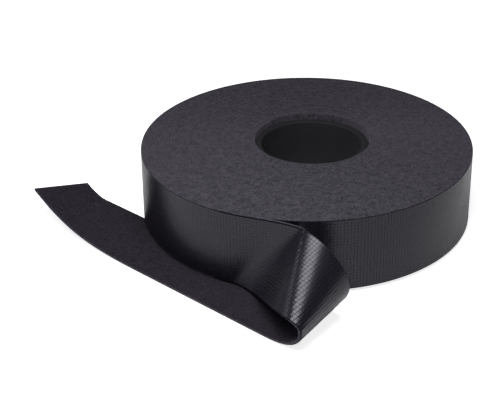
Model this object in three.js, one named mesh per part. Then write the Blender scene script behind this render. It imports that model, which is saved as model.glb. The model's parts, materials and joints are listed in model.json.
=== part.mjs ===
// A roll of back-to-back hook and loop tape that lies flat. Its loose end is peeled off the roll,
// curls over and runs back along the surface, under the roll's foot edge, to a raised free end.
// Millimetres, +Z up, the roll's axis upright, the origin under the middle of the whole object.

import * as THREE from "three";

// The tape: a moulded hook film bonded to the back of a brushed loop fabric
const TAPE_WIDTH = 25;
const HOOK_THICKNESS = 0.5;
const LOOP_THICKNESS = 0.6;

// The core tube that the tape is wound on. It sits a little off the roll's middle, to the right and
// back, and its upper rim is sunk below the tape's edges.
const CORE_BORE = 34;
const CORE_WALL = 2.5;
const CORE_CHAMFER = 0.4;
const CORE_SINK = 1.4;
const CORE_OFF_RIGHT = 1.5;
const CORE_OFF_BACK = 2.5;
const CORE_SIDES = 48;

// The winding: 20 of the real roll's 36 or so turns, so that each turn stays clear of the next
const ROLL_DIAMETER = 113;
const WINDING_TURNS = 20;
const STEPS_PER_TURN = 24;
const OUTER_TURN_STEPS = 96;
const LEAST_WINDING_GAP = 0.4;

// Clearances: core to winding, winding to tail and tail to tail, roll's foot to the strip under it
const CORE_CLEARANCE = 0.3;
const END_CLEARANCE = 0.3;
const FOOT_CLEARANCE = 0.3;

// The loose end, as places along the tape counted in tape widths from where it leaves the roll.
// At each place: how fast the tape bends, in degrees per tape width (plus follows the roll), and how
// far the line that it bends about leans from square, in degrees. Between places both change evenly.
// From the flat place to the lift place the strip is flat on the surface, where the free end hinges.
const LEAVING_ANGLE = 244;
const FLAT_PLACE_SHARE = 3.15;
const LIFT_PLACE_SHARE = 5.8;
const TAIL_PLACE_SHARES = [
  0, 0.52, 0.72, 0.92, 1.18, 1.45, 1.7, 2, 2.35, 2.8, FLAT_PLACE_SHARE, LIFT_PLACE_SHARE, 6.5, 7.2,
];
const TAIL_BEND_ANGLES = [70, -110, -150, 0, 10, 160, 180, 190, 110, 30, 0, 0, 30, 12];
const TAIL_LEAN_ANGLES = [0, 43, 31, 14, -12, -34, -25, 1, 7, 21, 30, 62, 35, 0];

// How finely the loose end is cut into facets, and how finely its path is worked out
const FACET_TURN_ANGLE = 7;
const FACET_LENGTH_SHARE = 0.25;
const PATH_STEP_SHARE = 0.002;

// Sizes that follow from the ones above
const TAPE_THICKNESS = HOOK_THICKNESS + LOOP_THICKNESS;
const CORE_RADIUS = CORE_BORE / 2 + CORE_WALL;
const FOOT_HEIGHT = TAPE_THICKNESS + FOOT_CLEARANCE;
const OUTER_SEAM_RADIUS = ROLL_DIAMETER / 2 - HOOK_THICKNESS;
const FACET_SHORTENING = Math.cos(Math.PI / STEPS_PER_TURN);
const INNER_SEAM_RADIUS = (CORE_RADIUS + CORE_CLEARANCE) / FACET_SHORTENING + LOOP_THICKNESS;
const TURN_PITCH = (OUTER_SEAM_RADIUS - INNER_SEAM_RADIUS) / WINDING_TURNS;
const CORE_MIDDLE = new THREE.Vector3(CORE_OFF_RIGHT, CORE_OFF_BACK, 0);

const radians = THREE.MathUtils.degToRad;

const hookFinish = () => new THREE.MeshStandardMaterial({ color: 0x2b2b30, roughness: 0.35, metalness: 0 });
const loopFinish = () => new THREE.MeshStandardMaterial({ color: 0x1f1c20, roughness: 0.95, metalness: 0 });
const coreFinish = () => new THREE.MeshStandardMaterial({ color: 0x1b1a1d, roughness: 0.6, metalness: 0 });

function namedMesh(name, geometry, material) {
  const mesh = new THREE.Mesh(geometry, material);
  mesh.name = name;
  return mesh;
}

// A closed bar through a row of four-cornered sections. Seen along the bar, each section's corners run
// inner bottom, outer bottom, outer top, inner top. The outer face is split along the same corners as
// the inner face, so two bars that share a face fit exactly.
function barThrough(sections) {
  const positions = [];
  const faces = [];
  for (const section of sections) {
    for (const corner of section) positions.push(corner.x, corner.y, corner.z);
  }
  const corners = 4;
  for (let step = 0; step + 1 < sections.length; step += 1) {
    for (let side = 0; side < corners; side += 1) {
      const next = (side + 1) % corners;
      const a = step * corners + side;
      const b = (step + 1) * corners + side;
      const c = (step + 1) * corners + next;
      const d = step * corners + next;
      if (side === 1) faces.push(a, b, d, b, c, d);
      else faces.push(a, b, c, a, c, d);
    }
  }
  const last = (sections.length - 1) * corners;
  faces.push(0, 1, 2, 0, 2, 3);
  faces.push(last, last + 2, last + 1, last, last + 3, last + 2);
  const geometry = new THREE.BufferGeometry();
  geometry.setAttribute("position", new THREE.Float32BufferAttribute(positions, 3));
  geometry.setIndex(faces);
  geometry.computeVertexNormals();
  return geometry;
}

// One layer of the tape along a list of stations. A station is the seam between the layers there:
// its bottom and top ends and the direction that the hook side faces.
function tapeLayer(stations, innerOffset, outerOffset) {
  const moved = (point, station, offset) => point.clone().addScaledVector(station.outward, offset);
  return barThrough(stations.map((station) => [
    moved(station.bottom, station, innerOffset),
    moved(station.bottom, station, outerOffset),
    moved(station.top, station, outerOffset),
    moved(station.top, station, innerOffset),
  ]));
}

const hookLayer = (stations) => tapeLayer(stations, 0, HOOK_THICKNESS);
const loopLayer = (stations) => tapeLayer(stations, -LOOP_THICKNESS, 0);

// The winding's seam: a spiral whose radius grows by one pitch a turn and ends where the tape leaves.
// The turns' centres move evenly from the core's axis to the roll's middle, which the last turn has.
function windingStations() {
  const stations = [];
  const innerTurns = WINDING_TURNS - 1;
  const innerSteps = innerTurns * STEPS_PER_TURN;
  for (let step = 0; step <= innerSteps + OUTER_TURN_STEPS; step += 1) {
    const outerStep = Math.max(step - innerSteps, 0);
    const turns = Math.min(step, innerSteps) / STEPS_PER_TURN + outerStep / OUTER_TURN_STEPS;
    const angle = radians(LEAVING_ANGLE) + 2 * Math.PI * (turns - WINDING_TURNS);
    const radius = INNER_SEAM_RADIUS + TURN_PITCH * turns;
    const outward = new THREE.Vector3(Math.cos(angle), Math.sin(angle), 0);
    const offCentre = Math.max(1 - turns / innerTurns, 0);
    const bottom = CORE_MIDDLE.clone().multiplyScalar(offCentre).addScaledVector(outward, radius);
    bottom.setZ(FOOT_HEIGHT);
    const top = bottom.clone().setZ(FOOT_HEIGHT + TAPE_WIDTH);
    stations.push({ bottom, top, outward });
  }
  return stations;
}

// The least distance from the hook face of one turn to the loop face of the turns outside it,
// measured on the corners and the middles of the facets
function leastWindingGap(stations) {
  const facePoints = (offset) => {
    const points = stations.map(({ bottom, outward }) => bottom.clone().addScaledVector(outward, offset));
    return points.flatMap((point, k) => (k ? [points[k - 1].clone().lerp(point, 0.5), point] : [point]));
  };
  const hookFace = facePoints(HOOK_THICKNESS);
  const loopFace = facePoints(-LOOP_THICKNESS);
  let least = Infinity;
  hookFace.forEach((point, k) => {
    for (let other = k + STEPS_PER_TURN; other < loopFace.length; other += 1) {
      least = Math.min(least, point.distanceTo(loopFace[other]));
    }
  });
  return least;
}

// The value of a table at a place, changing evenly between its entries
function along(places, values, place) {
  let k = 0;
  while (k + 2 < places.length && place > places[k + 1]) k += 1;
  const share = (place - places[k]) / (places[k + 1] - places[k]);
  return values[k] + (values[k + 1] - values[k]) * share;
}

// The places of the loose end's facets: each stretch between two entries of the table is shared out
// evenly, so that no facet turns or runs further than its limit
function facetPlaces(bends) {
  const places = [TAIL_PLACE_SHARES[0]];
  for (let entry = 1; entry < TAIL_PLACE_SHARES.length; entry += 1) {
    const start = TAIL_PLACE_SHARES[entry - 1];
    const length = TAIL_PLACE_SHARES[entry] - start;
    const turn = Math.max(Math.abs(bends[entry - 1]), Math.abs(bends[entry])) * length;
    const facets = Math.ceil(Math.max(turn / FACET_TURN_ANGLE, length / FACET_LENGTH_SHARE));
    for (let k = 1; k <= facets; k += 1) places.push(start + length * (k / facets));
  }
  return places;
}

// The loose end's seam at the given places. The tape bends without stretching: at every small step the
// directions along it, across it and out of its hook side turn together about the line that it
// bends about.
function tailStations(bends, places) {
  const leaving = radians(LEAVING_ANGLE);
  const slopes = TAIL_LEAN_ANGLES.map((lean) => Math.tan(radians(lean)));
  const outward = new THREE.Vector3(Math.cos(leaving), Math.sin(leaving), 0);
  const forward = new THREE.Vector3(-Math.sin(leaving), Math.cos(leaving), 0);
  const across = new THREE.Vector3(0, 0, 1);
  const middle = outward.clone().multiplyScalar(OUTER_SEAM_RADIUS);
  middle.addScaledVector(forward, END_CLEARANCE).setZ(FOOT_HEIGHT + TAPE_WIDTH / 2);

  const stations = [];
  let here = 0;
  for (const place of places) {
    const steps = Math.ceil((place - here) / PATH_STEP_SHARE);
    const share = steps ? (place - here) / steps : 0;
    for (let step = 0; step < steps; step += 1) {
      const halfway = here + share * (step + 0.5);
      const slope = along(TAIL_PLACE_SHARES, slopes, halfway);
      const line = across.clone().addScaledVector(forward, slope);
      const bend = radians(along(TAIL_PLACE_SHARES, bends, halfway)) * share * line.length();
      const turn = new THREE.Quaternion().setFromAxisAngle(line.normalize(), bend);
      const before = forward.clone();
      for (const direction of [outward, forward, across]) direction.applyQuaternion(turn);
      middle.addScaledVector(before.add(forward).normalize(), share * TAPE_WIDTH);
    }
    here = place;
    const line = across.clone().addScaledVector(forward, along(TAIL_PLACE_SHARES, slopes, place));
    const bottom = middle.clone().addScaledVector(line, -TAPE_WIDTH / 2);
    const top = middle.clone().addScaledVector(line, TAPE_WIDTH / 2);
    stations.push({ bottom, top, outward: outward.clone() });
  }
  return stations;
}

// How far the strip is from lying flat on the surface: two slopes of its hook side, and its height
function flatnessErrors(bends) {
  const [station] = tailStations(bends, [FLAT_PLACE_SHARE]);
  const height = (station.bottom.z + station.top.z) / 2 - HOOK_THICKNESS;
  return [station.outward.x, station.outward.y, height / TAPE_WIDTH];
}

// Trims the three strongest bends by Newton's method until the returning strip lies flat
function trimmedBends() {
  const bends = [...TAIL_BEND_ANGLES];
  const entries = [...bends.keys()].sort((a, b) => TAIL_BEND_ANGLES[b] - TAIL_BEND_ANGLES[a]).slice(0, 3);
  const rounds = 8;
  const probe = 0.01;
  for (let round = 0; round < rounds; round += 1) {
    const errors = flatnessErrors(bends);
    const [a, b, c] = entries.map((entry) => {
      const probed = [...bends];
      probed[entry] += probe;
      return flatnessErrors(probed).map((error, k) => (error - errors[k]) / probe);
    });
    const slopes = new THREE.Matrix3().set(a[0], b[0], c[0], a[1], b[1], c[1], a[2], b[2], c[2]);
    const change = new THREE.Vector3(...errors).applyMatrix3(slopes.invert());
    change.toArray().forEach((amount, k) => { bends[entries[k]] -= amount; });
  }
  return bends;
}

// The core tube, turned from its section: bore, wall and four small chamfers
function coreTube() {
  const bore = CORE_BORE / 2;
  const low = FOOT_HEIGHT;
  const high = FOOT_HEIGHT + TAPE_WIDTH - CORE_SINK;
  const section = [
    [bore + CORE_CHAMFER, low],
    [CORE_RADIUS - CORE_CHAMFER, low],
    [CORE_RADIUS, low + CORE_CHAMFER],
    [CORE_RADIUS, high - CORE_CHAMFER],
    [CORE_RADIUS - CORE_CHAMFER, high],
    [bore + CORE_CHAMFER, high],
    [bore, high - CORE_CHAMFER],
    [bore, low + CORE_CHAMFER],
    [bore + CORE_CHAMFER, low],
  ];
  const geometry = new THREE.LatheGeometry(section.map(([x, y]) => new THREE.Vector2(x, y)), CORE_SIDES);
  return geometry.rotateX(Math.PI / 2).translate(...CORE_MIDDLE);
}

const winding = windingStations();
const gap = leastWindingGap(winding);
console.log(`least gap between turns ${gap.toFixed(3)} mm, wanted over ${LEAST_WINDING_GAP} mm`);

// The loose end in two bodies, either side of the line that its free end lifts about
const bends = trimmedBends();
const places = facetPlaces(bends);
const halfGapShare = END_CLEARANCE / 2 / TAPE_WIDTH;
const curlPlaces = [...places.filter((place) => place < LIFT_PLACE_SHARE), LIFT_PLACE_SHARE - halfGapShare];
const freePlaces = [LIFT_PLACE_SHARE + halfGapShare, ...places.filter((place) => place > LIFT_PLACE_SHARE)];
const curl = tailStations(bends, curlPlaces);
const freeEnd = tailStations(bends, [0, ...freePlaces]).slice(1);

const roll = new THREE.Group();
roll.add(
  namedMesh("core_tube", coreTube(), coreFinish()),
  namedMesh("hook_film_winding", hookLayer(winding), hookFinish()),
  namedMesh("loop_fabric_winding", loopLayer(winding), loopFinish()),
  namedMesh("hook_film_curl", hookLayer(curl), hookFinish()),
  namedMesh("loop_fabric_curl", loopLayer(curl), loopFinish()),
  namedMesh("hook_film_free_end", hookLayer(freeEnd), hookFinish()),
  namedMesh("loop_fabric_free_end", loopLayer(freeEnd), loopFinish()),
);

// The origin goes to the middle of the whole object's outline, on the surface that it lies on
const outline = new THREE.Box3().setFromObject(roll, true);
const centre = outline.getCenter(new THREE.Vector3());
roll.position.set(-centre.x, -centre.y, -outline.min.z);

const part = new THREE.Group();
part.add(roll);

export default part;
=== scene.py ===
# %% [markdown]
# # A roll of hook and loop tape
#
# The tape is two layers bonded back to back. One is a plastic film that carries thousands of tiny
# moulded hooks, and the other is a brushed fabric of loops. It is wound on a tube with the hooks
# outwards, so each turn grips the one before it, and the roll needs no clip. The loose end is
# peeled off, curls over and runs back under the roll.
#
# The solids of the CAD model come first. They give the places and the joints, and every piece
# below is made in their frame, in metres, with +Z up.

# %% Open the frame
import json

import bpy
import numpy as np
from mathutils import Matrix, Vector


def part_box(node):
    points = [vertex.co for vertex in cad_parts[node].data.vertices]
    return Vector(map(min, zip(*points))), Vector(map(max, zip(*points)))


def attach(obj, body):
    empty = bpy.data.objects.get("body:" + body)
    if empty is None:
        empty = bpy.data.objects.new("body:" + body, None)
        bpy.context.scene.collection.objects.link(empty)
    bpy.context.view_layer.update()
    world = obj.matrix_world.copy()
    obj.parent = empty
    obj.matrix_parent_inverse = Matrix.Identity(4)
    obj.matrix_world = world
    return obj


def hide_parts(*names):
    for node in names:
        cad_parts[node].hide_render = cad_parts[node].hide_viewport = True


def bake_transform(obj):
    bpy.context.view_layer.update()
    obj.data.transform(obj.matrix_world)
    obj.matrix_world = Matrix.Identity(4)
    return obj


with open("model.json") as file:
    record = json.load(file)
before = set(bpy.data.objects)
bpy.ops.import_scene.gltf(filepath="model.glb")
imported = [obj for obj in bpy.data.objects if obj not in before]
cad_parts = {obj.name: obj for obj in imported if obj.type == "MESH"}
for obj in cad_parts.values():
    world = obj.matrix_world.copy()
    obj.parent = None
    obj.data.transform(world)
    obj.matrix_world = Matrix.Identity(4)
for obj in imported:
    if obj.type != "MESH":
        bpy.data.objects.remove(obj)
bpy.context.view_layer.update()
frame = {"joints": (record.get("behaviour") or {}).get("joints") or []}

# %% [markdown]
# ## Sizes
#
# The core's axis, radius and height are read from its solid. In the photograph the core sits a
# little to the right and back of the roll's middle, so the roll's own middle is found from it.
# The rest are the real sizes of such tape. The line where film and fabric meet is called the seam
# here, and every layer is placed by its height above the seam, with plus towards the hooks.
#
# The tape leaves the roll at the leaving angle, counted round from +X. A small gap there parts the
# film that stays wound from the film that is peeled off.

# %% Sizes of the tape and the roll
MM = 0.001
TAPE_WIDTH = 25 * MM
HALF_WIDTH = TAPE_WIDTH / 2
FILM = 0.16 * MM
HOOK_HEIGHT = 0.34 * MM
PILE = 0.6 * MM
ROLL_RADIUS = 56.5 * MM
SEAM_RADIUS = ROLL_RADIUS - HOOK_HEIGHT - FILM
TURNS = 36.3
LEAVING_ANGLE = np.radians(244)
LEAVING_GAP = 0.3 * MM
CORE_OFFSET = np.array([1.5, 2.5, 0]) * MM

core_low, core_high = (np.array(corner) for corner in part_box("core_tube"))
CORE_FOOT = np.array([*(core_low + core_high)[:2] / 2, core_low[2]])
CORE_RADIUS, CORE_HEIGHT = (core_high - core_low)[0] / 2, (core_high - core_low)[2]
ROLL_FOOT = CORE_FOOT - CORE_OFFSET
PITCH = (SEAM_RADIUS - CORE_RADIUS - PILE) / TURNS
print(f"Roll axis at {ROLL_FOOT[:2] / MM} mm, {TURNS} turns {PITCH / MM:.3f} mm apart")

# %% [markdown]
# ## The path of the loose end
#
# Tape bends but doesn't stretch, so its shape is a developable surface. At each place along it
# there is one straight line that it bends about. The table gives places in tape widths from the
# leaving line, how fast the tape bends there in degrees per tape width, and how many degrees that
# line leans from square. Small turns about those lines carry a frame of three directions along the
# tape: forward, across, and outward on the hook side. A simulated cloth would stretch and wobble,
# and a bezier strip would shear, but this surface can be rolled flat again without a wrinkle.
#
# Rounded numbers don't bring the strip down quite flat, so Newton's method trims the three
# strongest bends until the strip that returns under the roll lies flat on the table.

# %% How the loose end bends
PLACES = np.array([0, 0.52, 0.72, 0.92, 1.18, 1.45, 1.7, 2, 2.35, 2.8, 3.15, 5.8, 6.5, 7.2])
BENDS = np.array([70, -110, -150, 0, 10, 160, 180, 190, 110, 30, 0, 0, 30, 12], float)
LEANS = np.array([0, 43, 31, 14, -12, -34, -25, 1, 7, 21, 30, 62, 35, 0], float)
FLAT_PLACE = 3.15  # where the strip has come down flat
LIFT_PLACE = 5.8  # where the free end starts to rise
PATH_STEP = 0.002  # tape widths
SLOPES = np.tan(np.radians(LEANS))


def small_turns(axes, angles):
    """Rotation matrices by Rodrigues' formula: identity, plus sine times the axis's cross matrix,
    plus one less cosine times that matrix squared."""
    cross = np.zeros((len(axes), 3, 3))
    cross[:, 0, 1], cross[:, 0, 2], cross[:, 1, 2] = -axes[:, 2], axes[:, 1], -axes[:, 0]
    cross = cross - cross.transpose(0, 2, 1)
    sine, cosine = np.sin(angles)[:, None, None], np.cos(angles)[:, None, None]
    return np.eye(3) + sine * cross + (1 - cosine) * cross @ cross


def loose_path(bends):
    """Places, middle points and frames along the loose end. Each frame is the one before it turned
    about the leaning line, and each middle is the one before it moved along the mean direction."""
    first = -LEAVING_GAP / TAPE_WIDTH
    count = int(np.ceil((PLACES[-1] - first) / PATH_STEP))
    places = np.linspace(first, PLACES[-1], count + 1)
    step = places[1] - places[0]
    halfway = (places[1:] + places[:-1]) / 2
    slope = np.interp(halfway, PLACES, SLOPES)
    line = np.stack([slope, np.ones(count), np.zeros(count)], 1)
    length = np.hypot(slope, 1)
    angle = np.radians(np.interp(halfway, PLACES, bends)) * step * length
    cosine, sine = np.cos(LEAVING_ANGLE), np.sin(LEAVING_ANGLE)
    frames = [np.array([[-sine, 0, cosine], [cosine, 0, sine], [0, 1, 0]])]
    for turn in small_turns(line / length[:, None], angle):
        frames.append(frames[-1] @ turn)
    frames = np.array(frames)
    chord = frames[1:, :, 0] + frames[:-1, :, 0]
    chord *= step * TAPE_WIDTH / np.linalg.norm(chord, axis=1, keepdims=True)
    start = ROLL_FOOT + [SEAM_RADIUS * cosine, SEAM_RADIUS * sine, HALF_WIDTH]
    return places, np.vstack([start, start + np.cumsum(chord, 0)]), frames


def flatness(bends):
    """How far the returning strip is from flat: two slopes of its hook side, and its height."""
    places, middles, frames = loose_path(bends)
    at = np.searchsorted(places, FLAT_PLACE)
    height = (middles[at, 2] - FILM - HOOK_HEIGHT) / TAPE_WIDTH
    return np.array([frames[at, 0, 2], frames[at, 1, 2], height])


# %% [markdown]
# Three bends are trimmed because there are three measures to bring to nothing. Each round nudges
# the bends one at a time, reads how the measures answer, and solves for the change that would
# cancel them.

# %% Trim the bends until the strip is flat
TRIM_ROUNDS = 6
NUDGE = 0.01

for _ in range(TRIM_ROUNDS):
    off = flatness(BENDS)
    strongest = np.argsort(BENDS)[-len(off):]
    nudges = [np.where(np.arange(len(BENDS)) == k, NUDGE, 0) for k in strongest]
    answers = np.array([(flatness(BENDS + nudge) - off) / NUDGE for nudge in nudges]).T
    BENDS[strongest] -= np.linalg.solve(answers, off)

PATH_PLACES, MIDDLES, FRAMES = loose_path(BENDS)
LOOSE_LENGTH = PLACES[-1] * TAPE_WIDTH
print(f"Strip off flat by {np.abs(flatness(BENDS)).max():.1e}")
print(f"Loose end {LOOSE_LENGTH / MM:.0f} mm long")

# %% [markdown]
# ## One address for every spot on the tape
#
# Everything on the tape is placed by two numbers, as on the flat tape: the length along it from
# where it leaves the roll, minus on the roll and plus on the loose end, and the distance across
# it. The functions turn them into a point on the seam and the three directions there.
#
# On the roll the tape is a spiral. The core is off centre in it, so the turns have centres of
# their own, and winding leaves some turns a hair higher than others.

# %% Spots on the roll
WAVES = [(0.025, 3.7, 0), (0.02, 1.9, 1)]  # height in mm, speed and start of each wave
INNER_RISE = 0.16  # mm, of the innermost turns
INNER_TURNS = 3


def turns_back(along):
    """Turns from the leaving line back to a length of wound tape. The length of n turns of a
    spiral is 2 pi (radius n - pitch n squared / 2), solved for n."""
    length = np.maximum(-along - LEAVING_GAP, 0)
    return (SEAM_RADIUS - np.sqrt(SEAM_RADIUS**2 - PITCH * length / np.pi)) / PITCH


def turns_to_length(turns):
    """Length of wound tape in a number n of turns back from the leaving line: 2 pi (radius n -
    pitch n squared / 2), and the gap."""
    return 2 * np.pi * (SEAM_RADIUS * turns - PITCH * turns**2 / 2) + LEAVING_GAP


def middle_of(turns):
    """Where a turn's own centre lies from the roll's axis: nothing in the last turn, and from
    there evenly towards the core's axis."""
    return np.clip((turns - 1) / (TURNS - 1), 0, 1)[..., None] * CORE_OFFSET


def wander(turns):
    """How far a turn stands above or below the others: slow sines of the turn number that start
    from nothing, and a rise at the innermost turns."""
    waves = sum(height * np.sin(speed * turns + start) for height, speed, start in WAVES)
    rise = INNER_RISE * np.clip(turns - TURNS + INNER_TURNS, 0, 1)
    return (np.clip(turns, 0, 1) * waves + rise) * MM


def on_roll(along, across):
    """Seam points and frames on the roll. The radius falls by the pitch each turn about the turn's
    own centre, and the forward direction is square to it."""
    turns = turns_back(along)
    angle = LEAVING_ANGLE - 2 * np.pi * turns
    cosine, sine, zero = np.cos(angle), np.sin(angle), np.zeros(angle.shape)
    radius = SEAM_RADIUS - PITCH * turns
    rise = HALF_WIDTH + across + wander(turns)
    point = ROLL_FOOT + middle_of(turns) + np.stack([radius * cosine, radius * sine, rise], -1)
    frames = np.stack([-sine, zero, cosine, cosine, zero, sine, zero, zero + 1, zero], -1)
    return point, frames.reshape(*along.shape, 3, 3)


WOUND_LENGTH = turns_to_length(TURNS)
print(f"{WOUND_LENGTH:.2f} m of tape on the roll")

# %% [markdown]
# On the loose end a spot off the middle belongs to the leaning line that passes through it, and
# that line meets the middle at another place. Halving an interval finds the place, which needs no
# formula for how the lean changes.

# %% Spots on the loose end, and on the whole tape
WIDEST_SHIFT = 1.3  # tape widths, more than any leaning line reaches along the tape
HALVINGS = 30


def on_loose_end(along, across):
    """Seam points and frames on the loose end. The place on the middle is the one where place plus
    slope times the distance across is the length along. The point is the middle there, moved by
    the distance across times the line: sideways plus slope times forward."""
    target, share = along / TAPE_WIDTH, across / TAPE_WIDTH
    low, high = target - WIDEST_SHIFT, target + WIDEST_SHIFT
    for _ in range(HALVINGS):
        place = (low + high) / 2
        over = place + share * np.interp(place, PLACES, SLOPES) > target
        low, high = np.where(over, low, place), np.where(over, place, high)

    def read(values):
        return np.interp(place, PATH_PLACES, values)

    middle = np.stack([read(MIDDLES[:, i]) for i in range(3)], -1)
    frames = np.stack([read(FRAMES[:, i, j]) for i in range(3) for j in range(3)], -1)
    frames = frames.reshape(*along.shape, 3, 3)
    slope = np.interp(place, PLACES, SLOPES)[..., None]
    line = frames[..., 1] + slope * frames[..., 0]
    return middle + across[..., None] * line, frames


def on_tape(along, across):
    """Seam points and the forward, across and outward directions at spots on the tape: those of
    the roll behind the leaving line, and those of the loose end past it."""
    along, across = np.broadcast_arrays(np.asarray(along, float), np.asarray(across, float))
    wound_point, wound_frame = on_roll(along, across)
    loose_point, loose_frame = on_loose_end(along, across)
    wound = along < -LEAVING_GAP
    point = np.where(wound[..., None], wound_point, loose_point)
    directions = np.where(wound[..., None, None], wound_frame, loose_frame)
    return point, directions[..., 0], directions[..., 1], directions[..., 2]


upper_edge = on_tape(np.linspace(0, LOOSE_LENGTH), HALF_WIDTH)[0]
print(f"The loose end's edge rises to {upper_edge[:, 2].max() / MM:.1f} mm")

# %% [markdown]
# ## Meshes from arrays
#
# A layer of the tape is a closed outline carried along it. The points come from one array sum and
# the faces from whole-number arrays, and both go into the mesh in one go with foreach_set, which
# is hundreds of times faster than adding them one at a time.

# %% Helpers that turn arrays into objects
SHARP_ANGLE = np.radians(40)


def tube_faces(rows, ring):
    """Quads between the rings of a tube, and one many-sided face at each end, all facing out."""
    at = np.arange(rows * ring).reshape(rows, ring)
    a, b = at[:-1], at[1:]
    walls = np.stack([a, np.roll(a, -1, 1), np.roll(b, -1, 1), b], -1).reshape(-1, 4)
    return [walls, at[:1, ::-1], at[-1:]]


def repeated(blocks, count, points_each):
    """The same faces for many copies of one shape, numbered on from copy to copy."""
    shift = np.arange(count)[:, None, None] * points_each
    return [(block[None] + shift).reshape(-1, block.shape[1]) for block in blocks]


def piece(name, points, blocks, flat_spot=None, smooth=True):
    """Makes a mesh object. flat_spot holds each point's place on the flat tape, in metres, which
    becomes its UV map. A smooth piece keeps its sharp edges."""
    points = np.asarray(points, np.float32).reshape(-1, 3)
    corners = np.concatenate([block.ravel() for block in blocks]).astype(np.int32)
    sizes = np.concatenate([np.full(len(block), block.shape[1]) for block in blocks])
    starts = np.cumsum(sizes) - sizes
    mesh = bpy.data.meshes.new(name)
    mesh.vertices.add(len(points))
    mesh.vertices.foreach_set("co", points.ravel())
    mesh.loops.add(len(corners))
    mesh.loops.foreach_set("vertex_index", corners)
    mesh.polygons.add(len(sizes))
    mesh.polygons.foreach_set("loop_start", starts.astype(np.int32))
    mesh.polygons.foreach_set("use_smooth", np.full(len(sizes), smooth))
    if flat_spot is not None:
        corner_spots = flat_spot.reshape(-1, 2)[corners].astype(np.float32)
        mesh.uv_layers.new(name="flat_tape").data.foreach_set("uv", corner_spots.ravel())
    mesh.update(calc_edges=True)
    mesh.validate()
    if smooth:
        mesh.set_sharp_from_angle(angle=SHARP_ANGLE)
    made = bpy.data.objects.new(name, mesh)
    bpy.context.scene.collection.objects.link(made)
    print(f"{name}: {len(points)} points, {int((sizes - 2).sum())} triangles")
    return made


def carried(along, outline, depth=1.0):
    """Points of an outline, as rows of (across, height), carried along the tape. Its heights are
    multiplied by the depth, which may differ from place to place."""
    spot_along, across = np.meshgrid(along, outline[:, 0], indexing="ij")
    on_it = np.clip(across, -HALF_WIDTH, HALF_WIDTH)
    point, _, sideways, outward = on_tape(spot_along, on_it)
    past = (across - on_it)[..., None]
    height = outline[:, 1] * np.broadcast_to(depth, along.shape)[:, None]
    points = point + past * sideways + height[..., None] * outward
    return points, np.stack([spot_along, across], -1)


def layer(name, along, outline, depth=1.0):
    """A closed tube: the outline at each length along the tape, joined ring to ring."""
    points, spots = carried(along, outline, depth)
    return piece(name, points, tube_faces(*points.shape[:2]), spots)


# %% [markdown]
# ## The core tube
#
# A dark tube with thin walls, spun from its section. Its rims are rounded over, because a sharp
# edge catches no light and looks drawn rather than made.

# %% Spin the core tube
CORE_WALL = 2.5 * MM
RIM_ROUND = 0.5 * MM
RIM_STEPS = 5
CORE_STEPS = 144


def core_section():
    """The wall's outline as (radius, height): a rectangle whose corners are quarter circles."""
    turn = np.radians(np.linspace(0, 90, RIM_STEPS))
    middle = np.array([CORE_RADIUS - CORE_WALL / 2, CORE_HEIGHT / 2])
    reach = np.array([CORE_WALL / 2, CORE_HEIGHT / 2]) - RIM_ROUND
    corners = []
    for quarter, (x, z) in enumerate([(1, 1), (-1, 1), (-1, -1), (1, -1)]):
        angle = turn + quarter * np.pi / 2
        bulge = RIM_ROUND * np.stack([np.cos(angle), np.sin(angle)], 1)
        corners.append(middle + reach * [x, z] + bulge)
    return np.concatenate(corners)


radius, height = core_section().T
around = np.linspace(0, 2 * np.pi, CORE_STEPS, endpoint=False)[:, None]
core_points = np.stack([
    CORE_FOOT[0] + np.cos(around) * radius,
    CORE_FOOT[1] + np.sin(around) * radius,
    CORE_FOOT[2] + 0 * around + height,
], -1)
at = np.arange(CORE_STEPS * len(radius)).reshape(CORE_STEPS, -1)
after = np.roll(at, -1, 0)
core_faces = np.stack([at, after, np.roll(after, -1, 1), np.roll(at, -1, 1)], -1).reshape(-1, 4)
core = piece("core_tube_spun", core_points, [core_faces])
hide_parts("core_tube")
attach(core, "roll")

# %% [markdown]
# ## The wound film and fabric
#
# The real roll has about 36 turns, and their edges are what its top and bottom faces are made of.
# So the faces aren't painted discs here: each layer is one long spiral band, and the rings on the
# top are the true edges of film and fabric. The last turn is the one that shows its face, so it
# has more steps.
#
# The turns' centres move towards the core's axis. On that side each turn lies closer to the next
# one in, so the fabric between them is thinner there and thicker on the other side.

# %% Outlines of the two layers
ROUNDED = [(0.035, 0.9), (0.057, 0.65), (0.057, 0.35), (0.035, 0.1)]
SLOPING = [(0.17, 0.93), (0.18, 0.8), (0.12, 0.45), (0.03, 0.08)]


def film_outline(columns):
    """Outline of the film: a flat face on the seam and one a film's thickness above it."""
    flat = np.linspace(-HALF_WIDTH, HALF_WIDTH, columns)
    return np.concatenate([
        np.stack([flat, 0 * flat], 1),
        np.stack([flat[::-1], 0 * flat + FILM], 1),
    ])


def fabric_outline(depth, columns, upper, lower):
    """Outline of the fabric: flat inside and out, with a cut edge above and below. Each edge is
    rows of how far it stands out, in millimetres, and the share of the depth where it does."""
    flat = np.linspace(-HALF_WIDTH, HALF_WIDTH, columns)

    def edge(rows):
        out, share = np.array(rows).T
        return np.stack([HALF_WIDTH + out * MM, -depth * share], 1)

    return np.concatenate([
        np.stack([flat, 0 * flat - depth], 1), edge(upper),
        np.stack([flat[::-1], 0 * flat], 1), edge(lower)[::-1] * [-1, 1],
    ])


print(f"Film outline {len(film_outline(2))} points, "
      f"fabric outline {len(fabric_outline(PILE, 2, SLOPING, ROUNDED))} points")

# %% Wind the two layers
STEPS_A_TURN = 160
LAST_TURN_STEPS = 320
FABRIC_SPARE = 0.01 * MM

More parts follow.
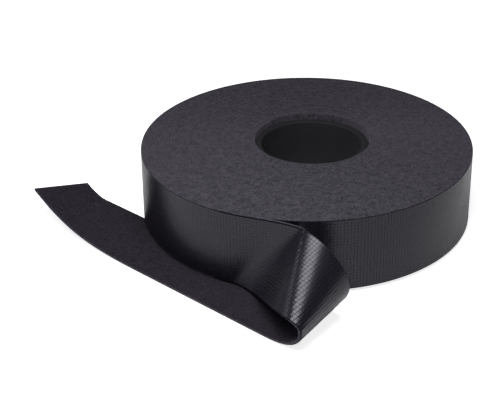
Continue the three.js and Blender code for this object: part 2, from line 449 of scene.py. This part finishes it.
inner_turns = np.linspace(TURNS, 1, int((TURNS - 1) * STEPS_A_TURN))
wound_turns = np.concatenate([inner_turns, np.linspace(1, 0, LAST_TURN_STEPS)[1:]])
wound_along = -turns_to_length(wound_turns)
wound_angle = LEAVING_ANGLE - 2 * np.pi * wound_turns
towards = CORE_OFFSET[0] * np.cos(wound_angle) + CORE_OFFSET[1] * np.sin(wound_angle)
crowding = towards / (TURNS - 1) * (wound_turns > 0.5)
fabric_depth = PITCH - crowding - FILM - FABRIC_SPARE

film_wound = layer("hook_film_wound", wound_along, film_outline(2))
fabric_wound = layer(
    "loop_fabric_wound", wound_along, fabric_outline(1.0, 2, SLOPING, ROUNDED), fabric_depth)
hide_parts("hook_film_winding")
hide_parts("loop_fabric_winding")
for wound, slot in ((film_wound, "hook_film"), (fabric_wound, "loop_fabric")):
    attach(wound, "roll")

# %% [markdown]
# The hot knife that slits the tape leaves a narrow lip of film along its edges. On the last turn
# it shows as a fine light line round the rims. The lip is real, but its light fibre finish is
# partly a painted highlight for the glint along its edge. It is one more outline carried along
# the tape, and it fades out at both ends of the turn.

# %% Lips on the last turn
LIP = np.array([
    (-0.32, 0.05), (0.02, 0.05), (0.045, 0.25), (0.01, 0.42), (-0.1, 0.46), (-0.32, 0.38),
]) * MM
LIP_TURNS = 0.995
LIP_STEPS = 400
LIP_FADE = 60  # the lip reaches its full height in a 60th of a turn
LEAST_LIP = 0.1

lip_turns = np.linspace(LIP_TURNS, 0, LIP_STEPS)
lip_depth = np.clip(np.minimum(lip_turns, LIP_TURNS - lip_turns) * LIP_FADE, LEAST_LIP, 1)
upper_lip = LIP + [HALF_WIDTH, 0]
lower_lip = upper_lip[::-1] * [-1, 1]
lips = [
    layer(name, -turns_to_length(lip_turns), outline, lip_depth)
    for name, outline in (("film_lip_upper", upper_lip), ("film_lip_lower", lower_lip))
]
for lip in lips:
    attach(lip, "roll")

# %% [markdown]
# ## The loose end
#
# The same two layers go on from the leaving line, as strips of cloth and film that were cut
# square. They cross the line where the free end lifts, where the CAD model has two bodies, one on
# either side of it. They have many columns of points, because a leaning bend crosses the strip
# aslant.

# %% Lay out the loose film and fabric
LOOSE_STEPS = 420
LOOSE_COLUMNS = 21
LOOSE_START = -LEAVING_GAP + 0.02 * MM

loose_along = np.linspace(LOOSE_START, LOOSE_LENGTH, LOOSE_STEPS)
loose_fabric_outline = fabric_outline(PILE, LOOSE_COLUMNS, ROUNDED, ROUNDED)
film_loose = layer("hook_film_loose", loose_along, film_outline(LOOSE_COLUMNS))
fabric_loose = layer("loop_fabric_loose", loose_along, loose_fabric_outline)
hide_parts("hook_film_curl", "hook_film_free_end")
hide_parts("loop_fabric_curl", "loop_fabric_free_end")

# %% [markdown]
# ## The hooks
#
# Each hook is moulded with two arms and a flat crown, like a palm tree seen from the side. The
# fine grid in the photograph repeats each 2.9 pixels down the roll's wall and each 3.3 pixels
# along it, which is 23 rows across the tape and a hook each 1.1 mm along it. They are real shapes
# of a few faces each, because a painted grid has no crowns to catch the light and no gaps between
# them. Only the hooks that show are made: those of the last turn and of the loose end.

# %% Shape of a hook
HOOK_SPACING = np.array([1.1, 1.055]) * MM
HOOK_ROWS = 23
HOOK_PROFILE = np.array([
    [0.22, -0.03], [-0.22, -0.03], [-0.15, 0.16], [-0.53, 0.18],
    [-0.52, 0.32], [0, 0.332], [0.52, 0.32], [0.53, 0.18], [0.15, 0.16],
]) * MM
HOOK_BREADTH = 1.0 * MM
HOOK_RIDGE = HOOK_HEIGHT - HOOK_PROFILE[:, 1].max()
LEAST_HOOK = 0.93  # the lowest hook's share of the full height
HOOK_SEED = 5000
print(f"Ridge of a crown {HOOK_RIDGE / MM:.3f} mm, hooks {HOOK_SPACING / MM} mm apart")

# %% Mould the hooks


def hook_field(name, first, last):
    """Hooks number first to last along the tape, in all rows. A hook's points are its profile at
    both sides and in the middle of its breadth, where the crown rises to a low ridge. They are
    set on the film by the directions of its own spot."""
    count, row = np.meshgrid(np.arange(first, last), np.arange(HOOK_ROWS), indexing="ij")
    spots = np.stack([(count + 0.5).ravel(), (row - (HOOK_ROWS - 1) / 2).ravel()], 1)
    spots = spots * HOOK_SPACING
    point, forward, sideways, outward = on_tape(spots[:, 0], spots[:, 1])
    chance = np.random.default_rng(HOOK_SEED + first)
    tall = chance.uniform(LEAST_HOOK, 1.0, (len(spots), 1))

    profile_x, profile_z = HOOK_PROFILE.T
    crown = profile_z > HOOK_HEIGHT * 0.9
    ridge = np.array([[0], [HOOK_RIDGE], [0]]) * crown
    x = np.tile(profile_x, 3)[None, :, None]
    y = np.repeat([-HOOK_BREADTH / 2, 0, HOOK_BREADTH / 2], len(profile_x))[None, :, None]
    z = (profile_z + ridge).ravel()[None, :, None] * tall[..., None] + FILM
    points = point[:, None] + x * forward[:, None] + y * sideways[:, None] + z * outward[:, None]

    points_each = points.shape[1]
    faces = repeated(tube_faces(3, len(profile_x)), len(spots), points_each)
    made = piece(name, points, faces, np.repeat(spots[:, None], points_each, 1), smooth=False)
    return made


hooks_a_turn = int((turns_to_length(1) + 2 * MM) / HOOK_SPACING[0])
hooks_left = hook_field("hooks_last_turn_a", -hooks_a_turn // 2, 0)
hooks_right = hook_field("hooks_last_turn_b", -hooks_a_turn, -hooks_a_turn // 2)
hooks_loose = hook_field("hooks_loose", 0, int(LOOSE_LENGTH / HOOK_SPACING[0]))
for hooks in (hooks_left, hooks_right):
    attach(hooks, "roll")

# %% [markdown]
# ## The loops
#
# The other side is brushed so that its fine loops stand up for the hooks to catch. Loose loops
# also stick out of the cut edges all over the top and bottom of the roll. Each is a thin bow with
# three sides. A hair system would do the same in a render, but these are plain faces, which every
# program can read.

# %% Shape of a loop
LOOPS = 7000
LOOP_SEED = 7
LOOP_THICK = 0.035 * MM
LOOP_ROOT = 0.03 * MM
BOW_STEPS = 5
BOW_SIDES = np.radians([90, 210, 330])


def bows(name, base, run, lift, span, rise, spots):
    """Many thin bows: from its base each runs on by its span while it rises and falls as a
    parabola, with a three-sided section."""
    share = np.linspace(0, 1, BOW_STEPS)
    path = base[:, None] + run[:, None] * (span[:, None] * share)[..., None]
    path = path + lift[:, None] * (rise[:, None] * (4 * share * (1 - share)))[..., None]
    side = np.cross(run, lift)
    ring = np.cos(BOW_SIDES)[:, None] * side[:, None] + np.sin(BOW_SIDES)[:, None] * lift[:, None]
    points = path[:, :, None] + LOOP_THICK * ring[:, None]
    points_each = BOW_STEPS * len(BOW_SIDES)
    faces = repeated(tube_faces(BOW_STEPS, len(BOW_SIDES)), len(base), points_each)
    made = piece(name, points, faces, np.repeat(spots[:, None], points_each, 1))
    return made


# %% Brush up the loops of the loose end
LOOP_MARGIN = 0.2 * MM
chance = np.random.default_rng(LOOP_SEED)

nearest = [0, LOOP_MARGIN - HALF_WIDTH]
furthest = [LOOSE_LENGTH - MM, HALF_WIDTH - LOOP_MARGIN]
spots = chance.uniform(nearest, furthest, (LOOPS, 2))
point, forward, sideways, outward = on_tape(spots[:, 0], spots[:, 1])
heading = chance.uniform(0, 2 * np.pi, LOOPS)[:, None]
span = chance.uniform(0.5, 1.1, LOOPS) * MM
rise = chance.uniform(0.08, 0.2, LOOPS) * MM
loops_loose = bows(
    "loops_loose", point - outward * (PILE - LOOP_ROOT),
    np.cos(heading) * forward + np.sin(heading) * sideways, -outward, span, rise, spots)

# %% [markdown]
# On the roll the loops root in the cut edges, more of them above than below, because the lower
# face can't be seen as long as the roll lies on it.

# %% Brush up the loops of the roll's edges
UPPER_SHARE = 0.7

edge_along = -WOUND_LENGTH * chance.uniform(0.001, 0.999, LOOPS)
edge_side = np.where(chance.uniform(size=LOOPS) < UPPER_SHARE, 1.0, -1.0)
spots = np.stack([edge_along, HALF_WIDTH * edge_side], 1)
point, forward, sideways, outward = on_tape(spots[:, 0], spots[:, 1])
heading = chance.uniform(0, 2 * np.pi, LOOPS)[:, None]
depth = chance.uniform(0.1, 0.9, LOOPS) * (PITCH - FILM)
span = chance.uniform(0.4, 1.0, LOOPS) * MM
rise = chance.uniform(0.12, 0.3, LOOPS) * MM
loops_edge = bows(
    "loops_at_the_edges", point - outward * depth[:, None],
    np.cos(heading) * forward + np.sin(heading) * outward,
    sideways * edge_side[:, None], span, rise, spots)
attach(loops_edge, "roll")

# %% [markdown]
# ## The lifting line of the loose end
#
# The joint's own record gives the line that the free end lifts about, and the side of it on which
# the free end lies. The loose pieces keep their shape, and their places are baked into their
# points.

# %% Read the lifting line and bake the loose pieces
ON_THE_FREE_END = LIFT_PLACE * TAPE_WIDTH + 10 * MM

lift_joint = next(joint for joint in frame["joints"] if joint["name"] == "end_lift")
hinge = np.array(lift_joint["pos_m"])
hinge_axis = np.array(lift_joint["axis"])
past_hinge = np.cross([0, 0, 1], hinge_axis / np.linalg.norm(hinge_axis))
past_hinge *= np.sign((on_tape(ON_THE_FREE_END, 0)[0] - hinge) @ past_hinge)
for strip, slot in (
    (film_loose, "hook_film"), (fabric_loose, "loop_fabric"),
    (hooks_loose, "hook_film"), (loops_loose, "loop_fabric"),
):
    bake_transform(strip)

# %% [markdown]
# ## A small language for finishes
#
# A finish is a tree of shader nodes. Written out by hand, each sum takes four lines, so two small
# classes do it: Wire is one output of a node and adds Math nodes when it is summed or multiplied,
# and Finish makes any other node from its type, its settings and its inputs.

# %% Wires and finishes


class Wire:
    """One output socket. Sums and products of wires, or of a wire and a number, add Math nodes."""

    def __init__(self, finish, socket):
        self.finish, self.socket = finish, socket

    def maths(self, operation, other):
        return self.finish.node("Math", {"operation": operation}, {0: self, 1: other})

    def __add__(self, other):
        return self.maths("ADD", other)

    def __mul__(self, other):
        return self.maths("MULTIPLY", other)

    __radd__ = __add__
    __rmul__ = __mul__


class Finish:
    """A material that is being made."""

    def __init__(self, name):
        self.material = bpy.data.materials.new(name)
        self.material.use_nodes = True
        self.tree = self.material.node_tree
        self.shader = self.tree.nodes["Principled BSDF"]

    def feed(self, node, inputs):
        """Sets a node's sockets, by a link where the value is a wire."""
        for key, value in inputs.items():
            if isinstance(value, Wire):
                self.tree.links.new(value.socket, node.inputs[key])
            else:
                node.inputs[key].default_value = value

    def node(self, kind, settings={}, inputs={}, output=0):
        """Adds a node of any kind and gives back one of its outputs."""
        made = self.tree.nodes.new("ShaderNode" + kind)
        for name, value in settings.items():
            setattr(made, name, value)
        self.feed(made, inputs)
        return Wire(self, made.outputs[output])

    def spot(self):
        """Where a point is on the object, in metres."""
        return self.node("TexCoord", output="Object")

    def noise(self, where, scale, detail=2.0):
        """Cloudy noise from 0 to 1 with features about 1 / scale metres across."""
        return self.node("TexNoise", {}, {"Vector": where, "Scale": scale, "Detail": detail})

    def mixed(self, share, dark, light):
        """A colour between two, by a share from 0 to 1."""
        mix = {"data_type": "RGBA", "clamp_factor": True}
        return self.node("Mix", mix, {0: share, 6: dark, 7: light}, output=2)

    def spread(self, value, low, high):
        """Stretches a value so that low to high becomes 0 to 1, and holds it there."""
        return self.node("MapRange", {"clamp": True}, {0: value, 1: low, 2: high})

    def bump(self, height, distance):
        """A normal from a height, where distance is the depth of a height of 1 in metres."""
        return self.node("Bump", {}, {"Strength": 1.0, "Distance": distance, "Height": height})

    def done(self):
        """The material, once it has said how many nodes it took."""
        print(f"{self.material.name}: {len(self.tree.nodes)} nodes")
        return self.material


def grey(level, tint=(1.0, 1.0, 1.0)):
    """A colour: the level times the tint, and opaque."""
    return (level * tint[0], level * tint[1], level * tint[2], 1.0)


# %% [markdown]
# ## The hook film's finish
#
# The film is charcoal plastic with a satin shine, so what lies in front of it shows in it softly.
# Handling leaves slow changes in the shine and fine scuffs, which are noise in two sizes. The
# hooks' crowns are the glossy part. The film between them is the same glossy plastic, but it gets
# a copy of the finish with less shine and more roughness, which is painted shade for the shadow
# that the hooks cast down into the gaps.

# %% Charcoal film
DARK_FILM = grey(0.003, (1.02, 0.95, 1.6))
LIGHT_FILM = grey(0.009, (1.02, 0.95, 1.5))


def film_finish(name, roughness, mirror):
    """Charcoal plastic, from its least roughness and how strongly it mirrors."""
    film = Finish(name)
    spot = film.spot()
    slow = film.noise(spot, 90.0)  # 11 mm
    fine = film.noise(spot, 2600.0, 3.0)  # 0.4 mm
    film.feed(film.shader, {
        "Base Color": film.mixed(slow * 0.6 + fine * 0.4, DARK_FILM, LIGHT_FILM),
        "Roughness": film.spread(slow + 0.3 * fine, 0.1, 1.2) * 0.16 + roughness,
        "Normal": film.bump(fine, 0.006 * MM),
        "Specular IOR Level": mirror,
        "Specular Tint": grey(1.0, (0.92, 0.9, 1.0)),
    })
    return film.done()


crown_finish = film_finish("charcoal_hooks", 0.24, 0.46)
# The base copy's low shine and high roughness are painted shade between the hooks.
shaded_base_finish = film_finish("charcoal_base_painted_shade", 0.6, 0.2)

# %% [markdown]
# ## The loop fabric's finish
#
# The fabric is a brushed knit, nearly black and dull, with a slight sheen where its fibres stand
# against the light. Fine noise gives the grain and slower noise the patches of its nap. Where it
# has been cut, at the roll's top and bottom, the fibre ends show lighter.

# %% Brushed fabric
DARK_PILE = grey(0.006, (1.12, 0.88, 1.4))
LIGHT_PILE = grey(0.016, (1.14, 0.88, 1.3))
DARK_EDGE = grey(0.016, (1.02, 0.96, 1.22))
LIGHT_EDGE = grey(0.056, (1.02, 0.96, 1.16))


def fabric_finish(name, dark, light, grain):
    """Brushed fibres, from their two colours and how deep the grain is in metres."""
    fabric = Finish(name)
    spot = fabric.spot()
    nap = fabric.noise(spot, 420.0, 3.0)  # 2.4 mm
    fibres = fabric.noise(spot, 1300.0, 4.0)  # 0.8 mm
    fuzz = fabric.noise(spot, 5200.0, 2.0)  # 0.2 mm
    share = fabric.spread(0.22 * nap + 0.5 * fibres + 0.28 * fuzz, 0.38, 0.62)
    fabric.feed(fabric.shader, {
        "Base Color": fabric.mixed(share, dark, light),
        "Roughness": 0.95,
        "Sheen Weight": 0.1,
        "Sheen Tint": grey(1.0, (1.0, 0.85, 1.1)),
        "Sheen Roughness": 0.5,
        "Specular IOR Level": 0.15,
        "Normal": fabric.bump(0.6 * fibres + 0.4 * fuzz, grain),
    })
    return fabric.done()


pile_finish = fabric_finish("brushed_loops", DARK_PILE, LIGHT_PILE, 0.25 * MM)
edge_finish = fabric_finish("cut_fibre_edges", DARK_EDGE, LIGHT_EDGE, 0.3 * MM)

# %% [markdown]
# ## The core's finish
#
# The tube is dull and dark. A fine grain and slow blotches keep it from looking like a flat disc.

# %% Dull tube
DARK_TUBE = grey(0.005, (1.02, 0.95, 1.2))
LIGHT_TUBE = grey(0.012, (1.02, 0.95, 1.2))

tube = Finish("dull_tube")
spot = tube.spot()
grain = tube.noise(spot, 1800.0, 4.0)  # 0.6 mm
blotch = tube.noise(spot, 120.0, 2.0)  # 8 mm
tube.feed(tube.shader, {
    "Base Color": tube.mixed(0.5 * grain + 0.5 * blotch, DARK_TUBE, LIGHT_TUBE),
    "Roughness": 0.75,
    "Specular IOR Level": 0.3,
    "Normal": tube.bump(grain, 0.15 * MM),
})
tube_finish = tube.done()

# %% [markdown]
# ## Dress the pieces
#
# Each piece gets its finish in its first material slot. The knife drags fibres over the cut edges
# of both layers, so those faces get the fibres' finish, in a second slot. The lips on the film's
# edges get the same light finish, partly for the same reason and partly as a painted highlight
# for the glint along them.

# %% Dress the pieces
for dressed, finish in (
    # the film under the hooks takes the copy with painted shade
    (core, tube_finish), (film_wound, shaded_base_finish), (film_loose, shaded_base_finish),
    (hooks_left, crown_finish), (hooks_right, crown_finish), (hooks_loose, crown_finish),
    (fabric_wound, edge_finish), (loops_edge, edge_finish),
    # the lips' light colour is partly a painted highlight
    (lips[0], edge_finish), (lips[1], edge_finish),
    (fabric_loose, pile_finish), (loops_loose, pile_finish),
):
    dressed.data.materials.append(finish)


def cut_edges(strip, columns, edge_points=0):
    """Gives the second slot to a layer's cut edges. Half of its outline is the columns of a flat
    face and then the points of an edge, so the sides from the last column on are the edge. The
    last two faces are the tape's square ends."""
    strip.data.materials.append(edge_finish)
    side = np.arange(len(strip.data.polygons)) % (columns + edge_points)
    cut = side >= columns - 1
    cut[-2:] = False
    strip.data.polygons.foreach_set("material_index", cut.astype(np.int32))
    print(f"{strip.name}: {cut.sum()} faces of cut edge")


cut_edges(film_wound, 2)
cut_edges(film_loose, LOOSE_COLUMNS)
cut_edges(fabric_loose, LOOSE_COLUMNS, len(ROUNDED))

# %% [markdown]
# ## Floor, light and camera
#
# The roll lies on a large white sheet. Most of the film's shape shows by what it mirrors: the
# white sheet in front, and the dark strip of its own loose end. So the sheet glows, but only for
# rays from the camera and for rays that a surface has mirrored or let through, and it doesn't
# light the object itself. Close to the lamp the sheet is lit well enough, so the glow that the
# film mirrors starts further off.

# %% Floor
FLOOR_REACH = 3.0
LAMP_FOOT = (-0.012, -0.112, 0.0)
SEEN_GLOW = 0.8
MIRRORED_GLOW = 0.65
GLOW_STARTS, GLOW_FULL = 0.1, 0.35  # metres from the lamp's foot

floor_corners = np.array([[-1, -1, 0], [1, -1, 0], [1, 1, 0], [-1, 1, 0]]) * FLOOR_REACH
floor = piece("floor", floor_corners, [np.array([[0, 1, 2, 3]])])

paper = Finish("white_paper")
seen = paper.node("LightPath", output="Is Camera Ray")
glossy = paper.node("LightPath", output="Is Glossy Ray")
through = paper.node("LightPath", output="Is Transmission Ray")
distance = {"operation": "DISTANCE"}
away = paper.node("VectorMath", distance, {0: paper.spot(), 1: LAMP_FOOT}, output="Value")
mirrored = (glossy + through) * (paper.spread(away, GLOW_STARTS, GLOW_FULL) * MIRRORED_GLOW)
glow = seen * SEEN_GLOW + mirrored
paper.feed(paper.shader, {
    "Base Color": grey(0.9),
    "Roughness": 0.9,
    "Specular IOR Level": 0.0,
    "Emission Color": paper.mixed(glow, grey(0.0), grey(1.0)),
    "Emission Strength": 1.0,
})
floor.data.materials.append(paper.done())

# %% [markdown]
# A lamp hangs close over the front left, so the roll's top is brightest there and darker towards
# the back, as in the photograph. A narrow lamp at the back left draws the bright band on the curl.
# The world gives a weak even light, so that no shadow is quite black.

# %% Light
LAMP_HEIGHT = 0.225
LAMP_SIZE = (0.15, 0.19)
LAMP_POWER = 0.74
STRIP_PLACE = (-0.26, 0.11, 0.17)
STRIP_SIZE = (0.015, 0.3)
STRIP_POWER = 0.1
CURL_TOP = (0.017, -0.052, 0.023)
NEARLY_BACK = [0.0, 1.0, 0.001]  # no lamp shines exactly along it
EVEN_COLOUR = grey(1.0, (0.97, 0.95, 1.12))
EVEN_STRENGTH = 0.14

world = bpy.data.worlds.new("studio")
world.use_nodes = True
even_light = world.node_tree.nodes["Background"].inputs
even_light["Color"].default_value = EVEN_COLOUR
even_light["Strength"].default_value = EVEN_STRENGTH
bpy.context.scene.world = world


def stand(name, data, right, up, back, place):
    """Puts a lamp or a camera at a place, with its own x, y and z along three directions."""
    made = bpy.data.objects.new(name, data)
    matrix = np.eye(4)
    matrix[:3] = np.stack([right, up, back, place], 1)
    made.matrix_world = Matrix(matrix)
    bpy.context.scene.collection.objects.link(made)
    print(f"{name} at {np.round(np.array(place) / MM)} mm")
    return made


def softbox(name, place, towards, size, power):
    """A lamp of a width and a height at a place, turned to face a point."""
    lamp = bpy.data.lights.new(name, "AREA")
    lamp.shape, lamp.energy = "RECTANGLE", power
    lamp.size, lamp.size_y = size
    back = np.array(place) - np.array(towards)
    right = np.cross(NEARLY_BACK, back)
    right /= np.linalg.norm(right)
    back = back / np.linalg.norm(back)
    return stand(name, lamp, right, np.cross(back, right), back, place)


softbox("overhead", (*LAMP_FOOT[:2], LAMP_HEIGHT), LAMP_FOOT, LAMP_SIZE, LAMP_POWER)
softbox("strip", STRIP_PLACE, CURL_TOP, STRIP_SIZE, STRIP_POWER)

# %% [markdown]
# The camera stands about half a metre off and 28 degrees above the table. Its place was worked out
# from the two ellipses of the roll's rims, so a point of the roll falls on the same pixel as in
# the photograph. It faces the roll's axis, apart from three small turns that put the roll where it
# is in the picture.

# %% Camera
DISTANCE = 8.39 * ROLL_RADIUS
ELEVATION = np.radians(28.28)
PAN, TILT, ROLL = np.radians([-2.368, -0.155, -0.605])
SENSOR_WIDTH = 36
PHOTO_WIDTH = 500
FOCAL_PIXELS = 1360


def turned(angle, first, second):
    """A rotation by an angle in the plane of two axes."""
    matrix = np.eye(3)
    matrix[first, first] = matrix[second, second] = np.cos(angle)
    matrix[first, second], matrix[second, first] = -np.sin(angle), np.sin(angle)
    return matrix


back = np.array([0, -np.cos(ELEVATION), np.sin(ELEVATION)])
up = np.array([0, np.sin(ELEVATION), np.cos(ELEVATION)])
turns = turned(ROLL, 0, 1) @ turned(TILT, 1, 2) @ turned(PAN, 0, 2)
right, up, ahead = turns @ np.array([[1, 0, 0], up, -back])
camera_data = bpy.data.cameras.new("camera")
camera_data.sensor_width = SENSOR_WIDTH
camera_data.lens = SENSOR_WIDTH * FOCAL_PIXELS / PHOTO_WIDTH
camera = stand("camera", camera_data, right, up, -ahead, ROLL_FOOT + DISTANCE * back)
bpy.context.scene.camera = camera
bpy.context.scene.view_settings.view_transform = "Standard"
